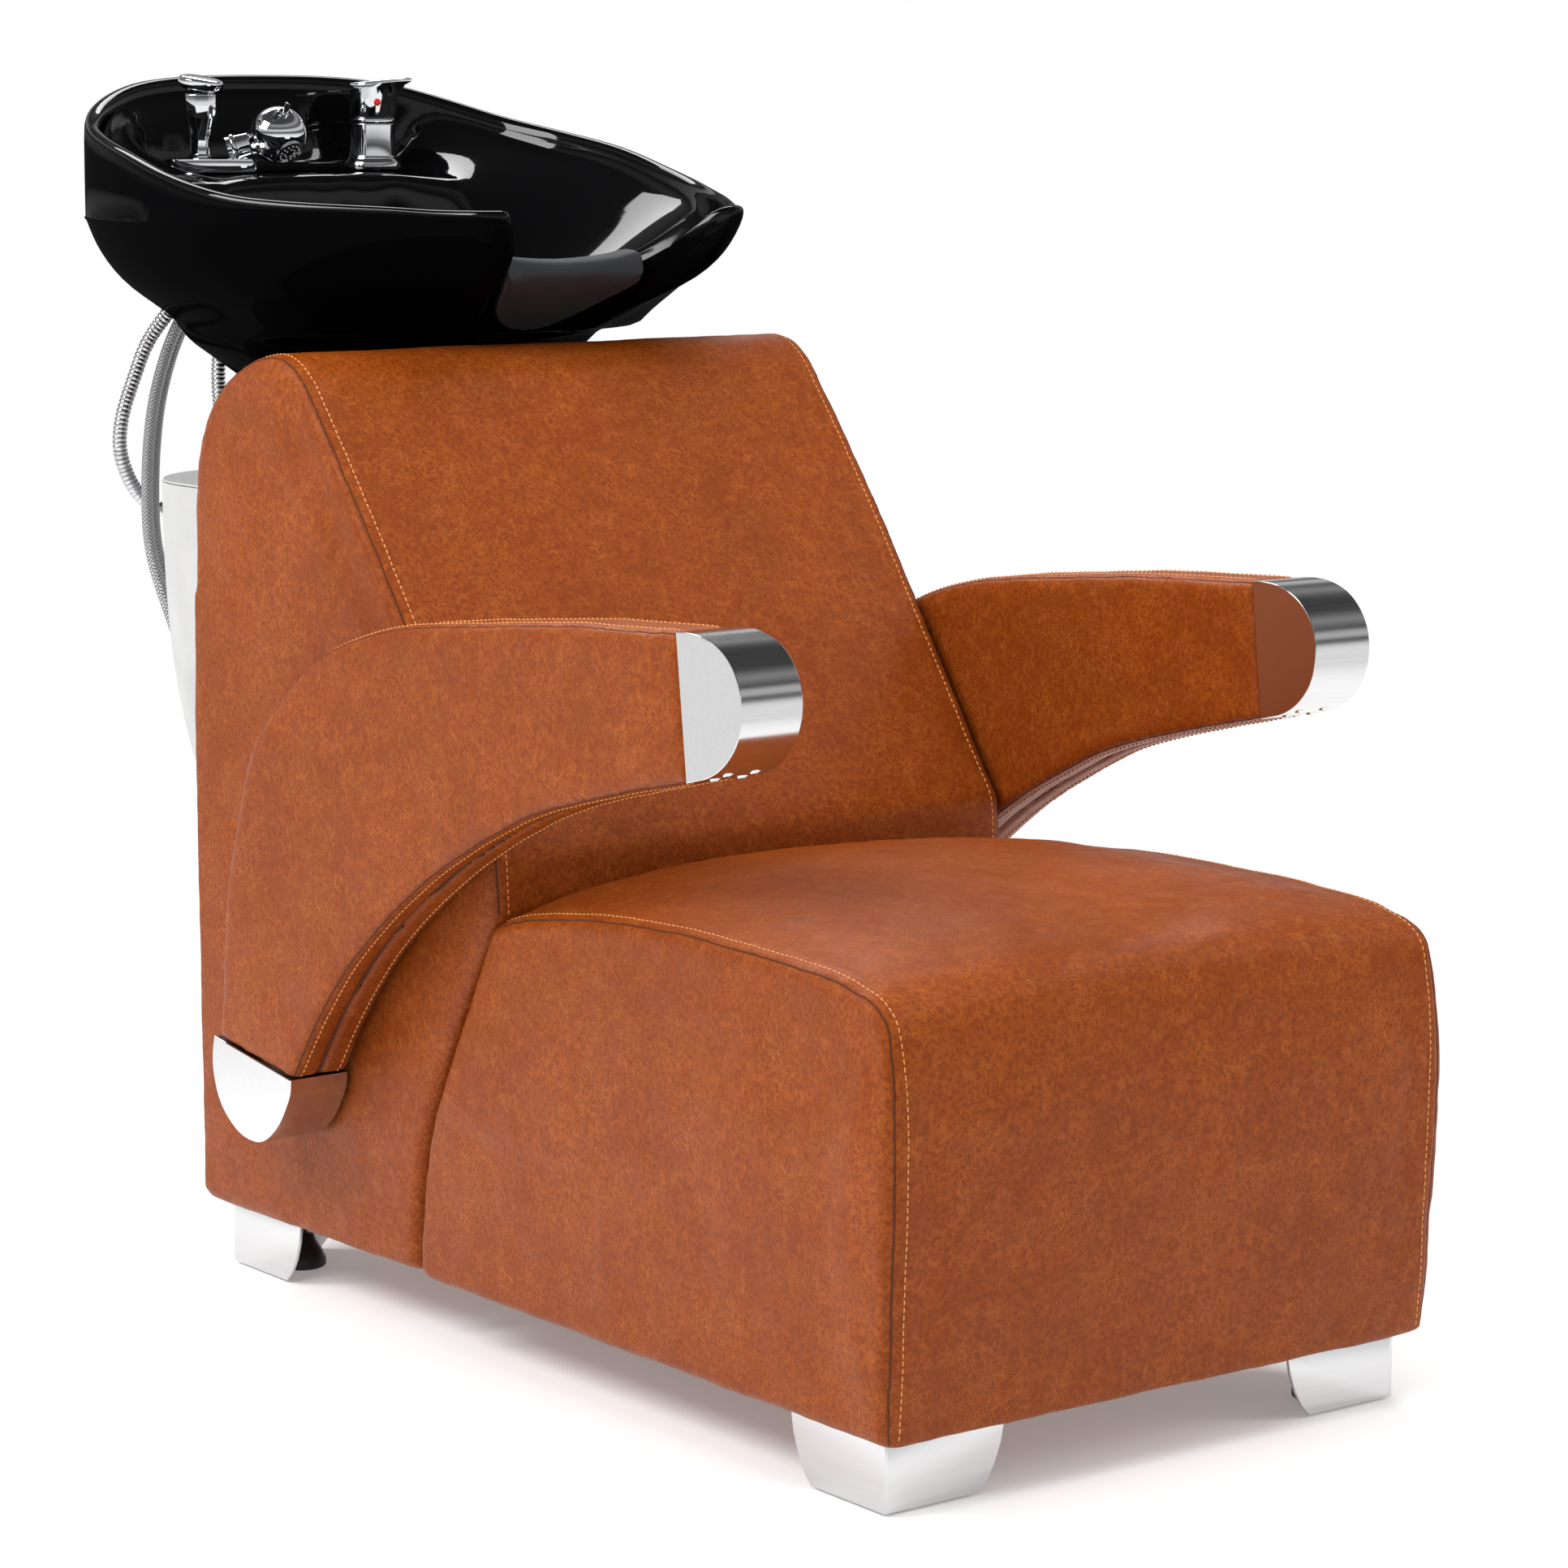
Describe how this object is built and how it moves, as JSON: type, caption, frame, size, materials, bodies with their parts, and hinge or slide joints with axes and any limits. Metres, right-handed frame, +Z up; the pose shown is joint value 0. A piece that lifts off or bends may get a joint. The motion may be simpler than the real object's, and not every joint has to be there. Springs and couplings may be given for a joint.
{
  "type": "shampoo backwash unit",
  "caption": "Salon backwash unit: upholstered seat and reclined back on corner feet, curved armrests with metal end caps, and a tilting black ceramic basin with mixer, hand spray and hoses.",
  "frame": {"origin": "Floor level, midway across the width, midway between the front of the seat and the back of the basin.", "axes": "+Z up; -Y is the way the seated client faces, +Y the side of the basin and plumbing; X across the unit, symmetric."},
  "size_m": [0.6844, 1.3521, 1.0601],
  "materials": {
    "leather": "smooth pull-up, satin",
    "plywood": "raw",
    "frame_steel": "satin black",
    "stainless": "fine brushed",
    "chrome": "polished",
    "ceramic": "gloss black glaze",
    "neck_rubber": "matte",
    "black_plastic": "matte",
    "black_rubber": "matte",
    "braid": "braided",
    "pvc": "matte",
    "brass": "machined",
    "mark_red": "gloss"
  },
  "bodies": {
    "unit": {"base_frame": "frame_steel", "seat_frame": "plywood", "seat_cushion": "leather", "back_frame": "plywood", "back_cushion": "leather", "back_panel": "leather", "foot_front_left": "stainless", "foot_front_right": "stainless", "foot_rear_left": "stainless", "foot_rear_right": "stainless", "armrest_left": "leather", "armrest_right": "leather", "arm_cap_front_left": "stainless", "arm_cap_front_right": "stainless", "arm_cap_rear_left": "stainless", "arm_cap_rear_right": "stainless", "arm_plate_left": "frame_steel", "arm_plate_right": "frame_steel", "bowl_bracket": "frame_steel", "hinge_pin": "stainless", "plumbing_cover": "stainless", "cover_lid": "stainless", "cover_rail": "frame_steel", "cover_screw_left": "stainless", "cover_screw_right": "stainless", "drain_hose": "pvc", "supply_hose_hot": "braid", "supply_hose_cold": "braid"},
    "basin": {"tilt_plate": "frame_steel", "bowl": "ceramic", "bowl_gasket": "black_rubber", "neck_rest": "neck_rubber", "waste_flange": "chrome", "waste_nut": "brass", "waste_tail": "chrome", "mixer_body": "chrome", "mixer_nut": "brass", "fitting_base": "chrome", "vacuum_breaker": "chrome", "breaker_cap": "chrome", "spray_socket": "chrome", "spray_hose": "braid"},
    "mixer_turn": {"mixer_collar": "chrome", "mixer_cartridge": "brass"},
    "mixer_handle": {"mixer_lever": "chrome", "temperature_button": "mark_red"},
    "handset": {"spray_head": "chrome", "spray_face": "chrome"},
    "thumb_lever": {"spray_lever": "chrome"},
    "waste_strainer": {"strainer": "chrome"},
    "lock_lever": {"tilt_lock_lever": "black_plastic"},
    "glide_front_left": {"glide_front_left": "black_plastic"},
    "glide_front_right": {"glide_front_right": "black_plastic"},
    "glide_rear_left": {"glide_rear_left": "black_plastic"},
    "glide_rear_right": {"glide_rear_right": "black_plastic"}
  },
  "joints": [
    {"name": "bowl_tilt", "type": "hinge", "parent": "unit", "child": "basin", "pos_m": [0, 0.3565, 0.733], "axis": [1, 0, 0], "range_deg": [-15, 0], "deforming": ["supply_hose_hot", "supply_hose_cold", "drain_hose"]},
    {"name": "mixer_temperature", "type": "hinge", "parent": "basin", "child": "mixer_turn", "pos_m": [0.092, 0.603, 1.0152], "axis": [0, 0, 1], "range_deg": [-45, 45]},
    {"name": "mixer_flow", "type": "hinge", "parent": "mixer_turn", "child": "mixer_handle", "pos_m": [0.0752, 0.6156, 1.0182], "axis": [-0.6, -0.8, 0], "range_deg": [0, 15]},
    {"name": "handset_lift", "type": "slide", "parent": "basin", "child": "handset", "axis": [0.8597, -0.4398, 0.2599], "range_m": [0, 0.25]},
    {"name": "thumb_lever_press", "type": "hinge", "parent": "handset", "child": "thumb_lever", "pos_m": [-0.04759, 0.55437, 1.01127], "axis": [-0.4818, 0.7489, 0.455], "range_deg": [0, 10]},
    {"name": "strainer_lift", "type": "slide", "parent": "basin", "child": "waste_strainer", "axis": [0, 0, 1], "range_m": [0, 0.04]},
    {"name": "tilt_lock", "type": "hinge", "parent": "unit", "child": "lock_lever", "pos_m": [0, 0.3565, 0.733], "axis": [1, 0, 0], "range_deg": [-15, 0]},
    {"name": "glide_front_left_adjust", "type": "slide", "parent": "unit", "child": "glide_front_left", "axis": [0, 0, -1], "range_m": [0, 0.01]},
    {"name": "glide_front_right_adjust", "type": "slide", "parent": "unit", "child": "glide_front_right", "axis": [0, 0, -1], "range_m": [0, 0.01]},
    {"name": "glide_rear_left_adjust", "type": "slide", "parent": "unit", "child": "glide_rear_left", "axis": [0, 0, -1], "range_m": [0, 0.01]},
    {"name": "glide_rear_right_adjust", "type": "slide", "parent": "unit", "child": "glide_rear_right", "axis": [0, 0, -1], "range_m": [0, 0.01]}
  ]
}
